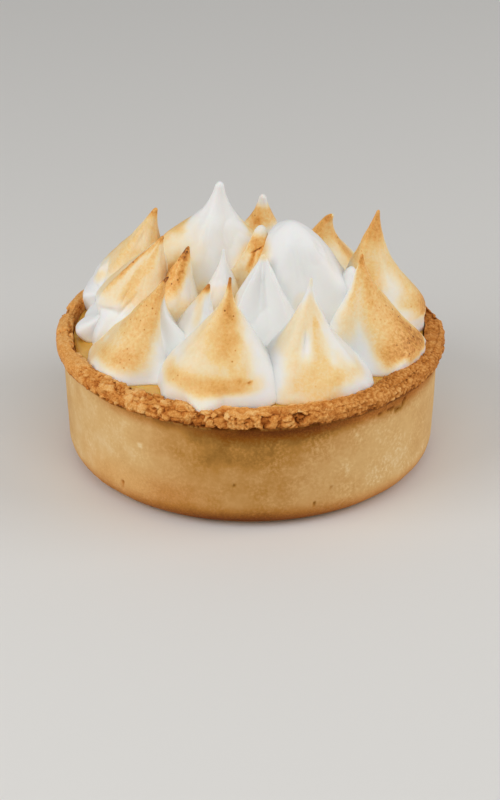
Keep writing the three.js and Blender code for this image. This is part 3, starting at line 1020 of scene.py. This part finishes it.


# Some strokes below also brown parts that lie in shade, such as the shaded left flank of the right kiss:
# painted shade in the browning.
KISSES = (
    Kiss(
        "front_centre", (-8.0, -29.0), (14.6, 12.6), (-4.7, -32.0, 60.4),
        belly=1.8, neck=2.3, lean=1.4, bow=0.6,
        strokes=(
            Stroke(-115, 0.28, 34, 0.19, 0.2, 0.9), Stroke(-65, 0.65, 42, 0.3, 0.72, 0.5),
            Stroke(-66, 0.34, 16, 0.11, 0.45, 0.5), Stroke(-139, 0.23, 42, 0.06, 0.48, 0.9),
            Stroke(-77, 0.2, 42, 0.06, 0.6), Stroke(-64, 0.69, 110, 0.25, 0.52, 0.9),
            Stroke(22, 0.21, 76, 0.5, 0.0, 0.4), Stroke(-69, 0.23, 5, 0.03, 0.61, 0.7),
            Stroke(-84, 0.73, 23, 0.09, 0.67, 0.9), Stroke(-95, 1.0, 180, 0.09, 0.84),
            Stroke(-59, 0.22, 2.6, 0.012, 0.95),
        ),
        swells=(
            Swell(-22, 0.0, 26, 0.13, 1.6), Swell(-165, 0.0, 24, 0.12, -1.2),
            Swell(-104, 0.03, 14, 0.1, 4.2),
        ),
        grit=0.15,
    ),
    Kiss(
        "front_left", (-26.6, -14.5), (13.2, 14.8), (-19.4, -21.3, 55.5),
        belly=1.0, neck=1.5, lean=1.95, bow=1.0,
        strokes=(
            Stroke(-173, 0.62, 110, 0.38, 0.42, 0.2), Stroke(-114, 0.22, 30, 0.1, 0.57, 0.8),
            Stroke(145, 0.32, 87, 0.07, 0.33, 0.2), Stroke(-61, 0.91, 110, 0.36, 0.58, 0.9),
            Stroke(-14, 0.29, 29, 0.45, 0.0, 0.2), Stroke(172, 0.12, 27, 0.1, 0.36, 0.8),
            Stroke(-156, 0.19, 17, 0.05, 0.5, 0.9), Stroke(-139, 0.61, 36, 0.08, 0.49, 0.7),
            Stroke(-100, 0.99, 180, 0.05, 0.9),
        ),
        swells=(
            Swell(-14, 0.24, 13, 0.22, 3.2, crest=1.3), Swell(-42, 0.34, 13, 0.3, -2.8),
            Swell(-10, 0.56, 30, 0.16, -1.2), Swell(-84, 0.5, 14, 0.4, 0.5, crest=1.3),
            Swell(-80, 0.0, 30, 0.12, -1.5),
        ),
        hook=0.5, grit=0.45,
    ),
    Kiss(
        "front_right", (14.6, -25.5), (14.6, 13.6), (14.3, -25.8, 57.3),
        belly=1.25, neck=1.75, lean=0.9, bow=-0.9,
        strokes=(
            Stroke(-82, 0.56, 56, 0.3, 0.27, 0.3), Stroke(-89, 0.0, 29, 0.34, 0.37, 0.4),
            Stroke(-63, 0.42, 14, 0.24, 0.49, 0.2), Stroke(-42, 0.34, 42, 0.15, 0.56),
            Stroke(-152, 0.57, 34, 0.19, 0.21, 0.4), Stroke(-94, 0.45, 10, 0.1, 0.04, 0.7),
            Stroke(46, 0.42, 110, 0.2, 0.03, 0.4), Stroke(-107, 0.08, 11, 0.03, 0.23, 0.9),
            Stroke(-70, 0.29, 10, 0.09, 0.39, 0.3), Stroke(-60, 1.0, 180, 0.08, 0.12, 0.7),
        ),
        swells=(
            Swell(-97, 0.46, 7, 0.1, -1.2, crest=1.4), Swell(-50, 0.2, 24, 0.12, 0.6),
            Swell(-25, 0.35, 16, 0.3, 0.6, crest=1.3),
        ),
        grit=0.3,
    ),
    Kiss(
        "right", (29.8, -9.5), (14.2, 13.5), (26.6, -12.0, 57.1),
        belly=1.05, neck=1.45, lean=0.85, bow=-0.4,
        strokes=(
            Stroke(-1, 0.15, 45, 0.06, 0.68, 0.7), Stroke(-34, 0.31, 44, 0.18, 0.78, 0.5),
            Stroke(-64, 0.71, 96, 0.36, 0.54, 0.5), Stroke(-89, 0.51, 41, 0.27, 0.3, 0.7),
            Stroke(-60, 0.15, 20, 0.09, 0.69, 0.9), Stroke(-59, 0.0, 12, 0.11, 0.02, 0.4),
            Stroke(-115, 0.0, 27, 0.41, 0.0, 0.3), Stroke(-58, 0.9, 30, 0.5, 0.56, 0.8),
            Stroke(-127, 0.4, 14, 0.12, 0.3, 0.9), Stroke(-70, 0.97, 180, 0.08, 0.68, 0.7),
        ),
        swells=(
            Swell(-118, 0.3, 26, 0.3, -0.9), Swell(-86, 0.4, 12, 0.4, 0.5, crest=1.3),
            Swell(-45, 0.0, 40, 0.12, 1.6), Swell(-160, 0.6, 30, 0.2, -1.0),
        ),
        hook=0.4, grit=0.55,
    ),
    Kiss(
        "right_back", (33.8, 9.0), (12.2, 12.5), (30.7, -2.0, 64.1),
        belly=1.05, neck=1.25, lean=0.75, bow=-2.4,
        strokes=(
            Stroke(-37, 0.88, 110, 0.33, 0.46, 0.9), Stroke(31, 0.51, 71, 0.21, 0.38, 0.3),
            Stroke(-3, 0.13, 50, 0.18, 0.72, 0.7), Stroke(-178, 1.0, 110, 0.44, 0.5, 0.2),
            Stroke(-121, 0.18, 82, 0.06, 0.06, 0.4), Stroke(-99, 0.11, 78, 0.03, 0.05, 0.3),
            Stroke(-30, 0.0, 60, 0.11, 0.03, 0.5), Stroke(-95, 0.57, 29, 0.15, 0.36),
            Stroke(-113, 0.3, 23, 0.22, 0.72, 0.8), Stroke(-70, 0.92, 180, 0.14, 0.64, 0.5),
        ),
        swells=(
            Swell(-42, 0.0, 26, 0.12, -1.8), Swell(-75, 0.4, 10, 0.3, 0.5, slant=20, crest=1.3),
            Swell(2, 0.3, 42, 0.16, 1.5),
        ),
        grit=0.35, overhang=1.9,
    ),
    Kiss(
        "left", (-29.5, 1.0), (11.0, 10.5), (-21.0, -4.0, 58.2),
        belly=2.0, neck=1.35, lean=1.15, bow=-1.6,
        strokes=(
            Stroke(-110, 0.86, 120, 0.44, 0.26, 0.2), Stroke(-88, 0.86, 15, 0.15, 0.46, 0.8),
            Stroke(-110, 0.63, 14, 0.15, 0.46, 0.8), Stroke(-156, 0.78, 9, 0.2, 0.68, 0.8),
            Stroke(-135, 0.93, 20, 0.08, 0.55, 0.7), Stroke(130, 0.7, 50, 0.3, 0.35),
            Stroke(-95, 1.0, 180, 0.05, 0.7),
        ),
        swells=(
            Swell(-157, 0.68, 10, 0.4, 0.9, crest=1.2), Swell(-130, 0.62, 15, 0.35, -0.6),
            Swell(-72, 0.55, 24, 0.3, 1.3), Swell(-112, 0.5, 4, 0.07, -0.6, crest=1.3),
            Swell(-164, 0.1, 15, 0.1, 2.3, crest=3), Swell(-144, 0.12, 3.0, 0.13, -3.4, crest=1),
            Swell(-128, 0.345, 20, 0.03, -1.1, crest=1.3), Swell(-127, 0.16, 11, 0.13, 1.7, crest=1.3),
            Swell(-176, 0.26, 32, 0.06, -3.2), Swell(-104, 0.4, 5, 0.1, -0.8, slant=90, crest=1.2),
        ),
        grit=0.4, segments=240,
    ),
    Kiss(
        "left_back", (-31.4, 17.0), (11.2, 12.0), (-23.0, 10.0, 59.3),
        belly=1.5, neck=1.4, lean=1.1, bow=-0.5,
        strokes=(
            Stroke(-93, 0.94, 110, 0.5, 0.34, 0.3), Stroke(100, 0.6, 90, 0.2, 0.42, 0.4),
            Stroke(-100, 0.72, 25, 0.06, 0.25, 0.9), Stroke(-140, 0.68, 12, 0.22, 0.4, 0.8),
            Stroke(-160, 0.35, 10, 0.04, 0.25, 0.8), Stroke(-110, 1.0, 180, 0.07, 0.66),
        ),
        swells=(
            Swell(-150, 0.0, 28, 0.1, -2.2), Swell(-152, 0.2, 16, 0.08, 1.4, crest=1.2),
            Swell(-150, 0.265, 26, 0.025, -1.3, crest=1.0),
            Swell(-150, 0.37, 6, 0.08, -1.9, slant=-138, crest=1.0),
            Swell(-136, 0.18, 5, 0.07, -1.6, crest=1.0), Swell(-168, 0.4, 12, 0.05, 1.0, crest=1.2),
            Swell(-128, 0.32, 10, 0.06, 0.9, crest=1.2), Swell(-100, 0.6, 30, 0.4, -0.5),
        ),
        tip_radius=0.55, grit=0.4, segments=240,
    ),
    Kiss(
        "back_right", (25.0, 23.0), (14.0, 14.0), (20.0, 16.0, 55.0),
        belly=1.1, neck=1.35, lean=1.2, bow=-4.0,
        strokes=(
            Stroke(-90, 0.85, 180, 0.34, 0.48), Stroke(-138, 0.86, 30, 0.14, 0.64, 0.8),
            Stroke(-20, 0.62, 30, 0.18, 0.62, 0.8), Stroke(-60, 0.6, 24, 0.12, 0.2, 0.9),
            Stroke(-112, 0.97, 60, 0.04, 0.72, 0.8), Stroke(-15, 1.0, 50, 0.02, 0.2, 0.5),
        ),
        tip_radius=0.9, hook=1.1, grit=0.4,
    ),
    Kiss(
        "back_centre", (2.0, 27.0), (14.0, 13.0), (3.0, 22.0, 57.6),
        belly=1.2, neck=1.5, lean=1.3, bow=0.4,
        strokes=(
            Stroke(-140, 0.81, 110, 0.11, 0.5), Stroke(74, 0.82, 110, 0.1, 0.67, 0.5),
            Stroke(-131, 0.75, 16, 0.11, 0.52, 0.8), Stroke(-117, 0.76, 21, 0.03, 0.66, 0.8),
            Stroke(-90, 1.0, 180, 0.1, 0.02),
        ),
        swells=(Swell(180, 0.62, 50, 0.1, 1.2),),
        tip_radius=0.8, grit=0.5,
    ),
    Kiss(
        "back_left", (-15.0, 28.0), (13.0, 12.0), (-9.5, 24.0, 53.5),
        belly=1.3, neck=1.4, lean=1.2, bow=0.0,
        strokes=(Stroke(120, 0.6, 80, 0.3, 0.45), Stroke(0, 0.98, 180, 0.1, 0.6)),
    ),
    Kiss(
        "small_left", (-13.0, -13.5), (7.5, 7.5), (-9.9, -15.0, 50.6),
        belly=1.2, neck=1.1, lean=1.5, bow=-0.9,
        strokes=(
            Stroke(143, 0.76, 110, 0.21, 0.52, 0.3), Stroke(-98, 0.65, 14, 0.14, 0.22, 0.9),
            Stroke(-158, 0.35, 48, 0.5, 0.05, 0.3), Stroke(174, 0.96, 110, 0.1, 0.43, 0.9),
            Stroke(-90, 1.0, 180, 0.08, 0.8),
        ),
    ),
    Kiss(
        "inner_left", (-16.5, -4.0), (9.0, 9.0), (-14.9, -5.0, 55.9),
        belly=1.4, neck=1.2, lean=1.5, bow=-1.8,
        strokes=(
            Stroke(-146, 0.93, 110, 0.5, 0.57, 0.7), Stroke(-55, 0.62, 34, 0.11, 0.05),
            Stroke(-100, 0.5, 15, 0.05, 0.13, 0.9), Stroke(-92, 0.78, 19, 0.12, 0.7, 0.9),
            Stroke(45, 0.46, 76, 0.12, 0.3, 0.2), Stroke(-100, 0.98, 180, 0.09, 0.84),
        ),
        grit=0.6,
    ),
    Kiss(
        "white_front", (3.6, -8.0), (11.5, 10.5), (3.1, -11.0, 56.6),
        belly=1.5, neck=1.25, lean=1.2, bow=-0.3,
        strokes=(Stroke(-170, 0.48, 22, 0.07, 0.5, 0.9), Stroke(-90, 1.0, 180, 0.05, 0.28)),
        swells=(
            Swell(-92, 0.5, 30, 0.38, -2.4, crest=3), Swell(-138, 0.56, 12, 0.38, 1.4, crest=1.2),
            Swell(-48, 0.56, 12, 0.38, 1.4, crest=1.2),
        ),
        tip_radius=0.5,
    ),
    Kiss(
        "white_slender", (-9.8, -4.0), (10.3, 9.5), (-6.4, -6.0, 55.7),
        belly=1.5, neck=1.7, lean=1.0, bow=1.0,
        strokes=(Stroke(-1, 0.36, 110, 0.33, 0.28, 0.2), Stroke(171, 0.59, 110, 0.06, 0.09, 0.3)),
        swells=(Swell(-75, 0.6, 16, 0.4, 0.9, crest=1.2), Swell(-125, 0.4, 16, 0.3, 0.9, crest=1.2)),
        folds=0.2,
    ),
    Kiss(
        "white_right", (21.5, -2.5), (8.5, 8.5), (24.4, -3.0, 49.6),
        belly=1.5, neck=1.1, lean=1.2, bow=0.4,
        strokes=(Stroke(-110, 0.42, 40, 0.08, 0.15, 0.8),),
        swells=(Swell(-130, 0.55, 20, 0.3, -0.8), Swell(-80, 0.6, 12, 0.3, 0.6, crest=1.3)),
        tip_radius=0.8, folds=0.2,
    ),
    Kiss(
        "dome", (13.6, 1.5), (12.8, 12.5), (9.5, -3.5, 61.8),
        belly=2.3, neck=0.62, lean=1.1, bow=-1.2,
        strokes=(Stroke(-78, 0.38, 15, 0.12, 0.08, 0.2), Stroke(-167, 0.71, 31, 0.13, 0.35)),
        swells=(
            Swell(180, 0.72, 44, 0.14, -1.7), Swell(-15, 0.35, 45, 0.22, 3.2),
            Swell(-68, 0.6, 32, 0.3, -2.0), Swell(-108, 0.66, 18, 0.26, 0.7),
            Swell(-34, 0.8, 26, 0.12, 0.8, crest=1.3), Swell(-25, 0.8, 6, 0.05, -1.2, crest=1.3),
            Swell(-12, 0.7, 4, 0.09, -0.9, slant=60, crest=1.3),
        ),
    ),
    Kiss(
        "inner_back", (-3.2, 3.5), (12.4, 11.5), (2.6, 0.5, 58.9),
        belly=1.1, neck=1.35, lean=1.1, bow=1.2,
        strokes=(
            Stroke(-90, 0.8, 180, 0.3, 0.34, 0.4), Stroke(-145, 0.6, 45, 0.2, 0.28),
            Stroke(-122, 0.86, 40, 0.07, 0.6, 0.7), Stroke(-112, 0.73, 8, 0.08, 0.68, 0.8),
            Stroke(-68, 0.8, 26, 0.1, 0.56, 0.7), Stroke(-97, 0.805, 8, 0.026, 1.0, slant=900),
            Stroke(-90, 1.0, 180, 0.07, 0.08),
        ),
        swells=(
            Swell(-150, 0.6, 24, 0.16, 1.4, crest=1.3),
            Swell(-97, 0.805, 8, 0.03, -0.9, slant=900, crest=1.3),
            Swell(-110, 0.72, 8, 0.1, -0.6, crest=1.3),
        ),
        tip_radius=1.3, folds=0.25, grit=0.5,
    ),
    Kiss(
        "tallest", (-15.0, 11.0), (19.5, 16.0), (-7.4, 7.0, 67.6),
        belly=1.8, neck=1.85, lean=1.12, bow=1.8,
        strokes=(
            Stroke(93, 0.63, 105, 0.11, 0.45, 0.2), Stroke(-131, 0.1, 22, 0.41, 0.72, 0.2),
            Stroke(-145, 0.04, 36, 0.44, 0.54, 0.9), Stroke(21, 0.5, 76, 0.1, 0.31, 0.2),
            Stroke(-92, 0.29, 5, 0.09, 0.4, 0.7), Stroke(-65, 0.75, 27, 0.23, 0.0, 0.2),
        ),
        swells=(
            Swell(178, 0.6, 40, 0.12, 3.4), Swell(0, 0.6, 34, 0.1, 1.7), Swell(-140, 0.5, 20, 0.2, -0.9),
            Swell(-112, 0.66, 18, 0.24, 0.7), Swell(-66, 0.6, 16, 0.26, -0.8),
        ),
        tip_radius=1.05, folds=0.25,
    ),
)


@dataclass(frozen=True)
class Softbox:
    """A square soft light that faces the tart.

    Attributes:
        name: Name of the light.
        around: Direction it stands in, in degrees from +X.
        elevation: Its height above the floor, in degrees.
        distance: From the tart, in metres.
        size: Side, in metres.
        power: In watts.
    """

    name: str
    around: float
    elevation: float
    distance: float
    size: float
    power: float

    def build(self, target: Vector) -> None:
        """Add the light.

        Args:
            target: The point that it faces.
        """
        data = bpy.data.lights.new(self.name, "AREA")
        data.shape = "SQUARE"
        data.size = self.size
        data.energy = self.power
        light = bpy.data.objects.new(self.name, data)
        turn, rise = math.radians(self.around), math.radians(self.elevation)
        level = Vector((math.cos(turn), math.sin(turn), 0.0))
        offset = level * math.cos(rise) + Vector((0.0, 0.0, math.sin(rise)))
        light.location = target + offset * self.distance
        light.rotation_euler = (-offset).to_track_quat("-Z", "Y").to_euler()
        bpy.context.scene.collection.objects.link(light)


@dataclass
class Studio:
    """A pale floor, soft lights and the camera."""

    camera_distance: float = 0.85
    camera_elevation: float = 28.0
    camera_pitch: float = 27.295
    camera_shift: float = -0.12 * MM
    lens: float = 153.7
    aim_height: float = 35 * MM
    floor_colour: str = "e4e2de"
    floor_size: float = 3.0
    sky_colour: str = "f2f2f2"
    sky_strength: float = 0.36
    softboxes: tuple[Softbox, ...] = (
        Softbox("left_softbox", -150, 32, 0.7, 0.5, 2.1),
        Softbox("right_softbox", -8, 28, 0.7, 0.5, 1.8),
        Softbox("front_softbox", -80, 54, 0.7, 0.5, 0.95),
    )

    def build(self) -> None:
        """Build the floor, the lights, the surroundings and the camera."""
        self.build_floor()
        for softbox in self.softboxes:
            softbox.build(Vector((0, 0, self.aim_height)))
        scene = bpy.context.scene
        scene.view_settings.view_transform = "Standard"
        world = bpy.data.worlds.new("studio")
        world.use_nodes = True
        background = world.node_tree.nodes["Background"]
        background.inputs["Color"].default_value = linear(self.sky_colour)
        background.inputs["Strength"].default_value = self.sky_strength
        scene.world = world
        self.build_camera()

    def build_floor(self) -> None:
        """Build the matt pale floor."""
        values = {"Base Color": linear(self.floor_colour), "Roughness": 0.8}
        material = NodeGraph("pale_floor").surface(values)
        mesh = bmesh.new()
        bmesh.ops.create_grid(mesh, x_segments=1, y_segments=1, size=self.floor_size)
        data = bpy.data.meshes.new("floor")
        mesh.to_mesh(data)
        mesh.free()
        data.materials.append(material)
        floor = bpy.data.objects.new("floor", data)
        bpy.context.scene.collection.objects.link(floor)

    def build_camera(self) -> None:
        """Add the camera and make it the scene's own."""
        data = bpy.data.cameras.new("camera")
        data.lens = self.lens
        data.clip_start = 0.01
        camera = bpy.data.objects.new("camera", data)
        rise = math.radians(self.camera_elevation)
        camera.location = (
            self.camera_shift,
            -self.camera_distance * math.cos(rise),
            self.camera_distance * math.sin(rise),
        )
        camera.rotation_euler = (math.radians(90 - self.camera_pitch), 0, 0)
        bpy.context.scene.collection.objects.link(camera)
        bpy.context.scene.camera = camera


def main() -> None:
    """Build the tart and the studio in order."""
    logging.basicConfig(level=logging.INFO)
    shell = Shell()
    shell.build(Shortcrust().material())
    Curd().build(shell, LemonCurd().material())
    meringue = ToastedMeringue().material()
    for kiss in KISSES:
        kiss.build(shell, meringue)
    Studio().build()


if __name__ == "__main__":
    main()
